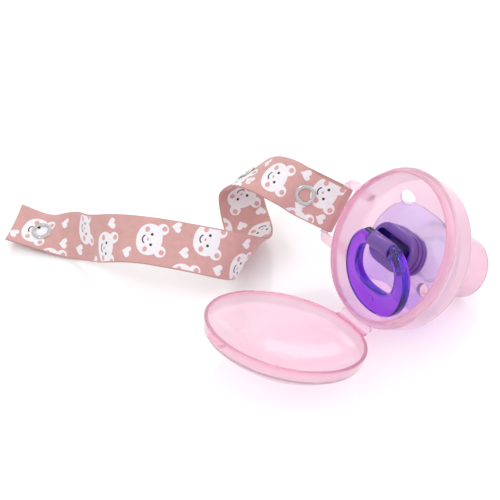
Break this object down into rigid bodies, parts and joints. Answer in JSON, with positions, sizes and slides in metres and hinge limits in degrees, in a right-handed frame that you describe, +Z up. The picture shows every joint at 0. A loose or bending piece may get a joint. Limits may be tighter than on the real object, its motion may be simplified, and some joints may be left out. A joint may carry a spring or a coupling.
{
  "type": "pacifier with travel case and strap",
  "caption": "Pacifier with a ring handle seated in a hinged round travel case, on a looped ribbon strap with snap fasteners.",
  "frame": {"origin": "under the middle of the part's box, on the surface it lies on", "axes": "+Z up; +X to the right along the part's length, from the strap's free end to the case; +Y away from the viewer, from the lid to the strap's curl"},
  "size_m": [0.2011, 0.13, 0.0632],
  "materials": {
    "case_pink": "clear tinted polypropylene, polished",
    "lid_pink": "clear tinted polypropylene, polished",
    "hinge_pink": "thin bending film",
    "shield_lavender": "clear tinted, polished",
    "silicone": "clear silicone",
    "plug_white": "smooth",
    "button_violet": "smooth",
    "ring_violet": "clear deep violet, polished",
    "ribbon_pink": "printed woven ribbon, two layers",
    "snap_chrome": "polished",
    "snap_steel": "plated, inner halves"
  },
  "bodies": {
    "case": {"case_body": "case_pink", "hinge_film": "hinge_pink"},
    "lid": {"lid": "lid_pink"},
    "pacifier": {"shield": "shield_lavender", "teat": "silicone", "teat_plug": "plug_white", "button_cover": "button_violet"},
    "ring": {"ring_handle": "ring_violet"},
    "strap_near": {"strap_loop": "ribbon_pink", "snap_cap_loop": "snap_chrome", "snap_socket_loop": "snap_steel"},
    "strap_tail": {"strap_tail": "ribbon_pink", "snap_cap_tail": "snap_chrome", "snap_stud_tail": "snap_steel"},
    "strap_far": {"strap_far": "ribbon_pink", "snap_cap_crest": "snap_chrome", "snap_stud_crest": "snap_steel", "snap_cap_free": "snap_chrome", "snap_socket_free": "snap_steel"}
  },
  "joints": [
    {"name": "lid_hinge", "type": "hinge", "parent": "case", "child": "lid", "pos_m": [0.04492, -0.01518, 0.00783], "axis": [0.553, -0.8297, 0.076], "range_deg": [-106.4, 68.6]},
    {"name": "pacifier_lift", "type": "slide", "parent": "case", "child": "pacifier", "axis": [-0.7065, -0.4187, 0.5706], "range_m": [0, 0.07]},
    {"name": "ring_swing", "type": "hinge", "parent": "pacifier", "child": "ring", "pos_m": [0.05558, -0.00517, 0.0395], "axis": [-0.553, 0.8297, -0.076], "range_deg": [0, 220]},
    {"name": "strap_swing", "type": "hinge", "parent": "case", "child": "strap_near", "pos_m": [0.03889, 0.03631, 0.02562], "axis": [0.4416, 0.3692, 0.8177], "range_deg": [-30, 8]},
    {"name": "strap_fold", "type": "hinge", "parent": "strap_near", "child": "strap_far", "pos_m": [0.00861, 0.04656, 0.03597], "axis": [0.5933, 0.724, 0.3519], "range_deg": [-10, 30]},
    {"name": "tail_snap", "type": "hinge", "parent": "strap_near", "child": "strap_tail", "pos_m": [0.03897, 0.03853, 0.02458], "axis": [-0.4416, -0.3692, -0.8177], "range_deg": [0, 45]}
  ]
}
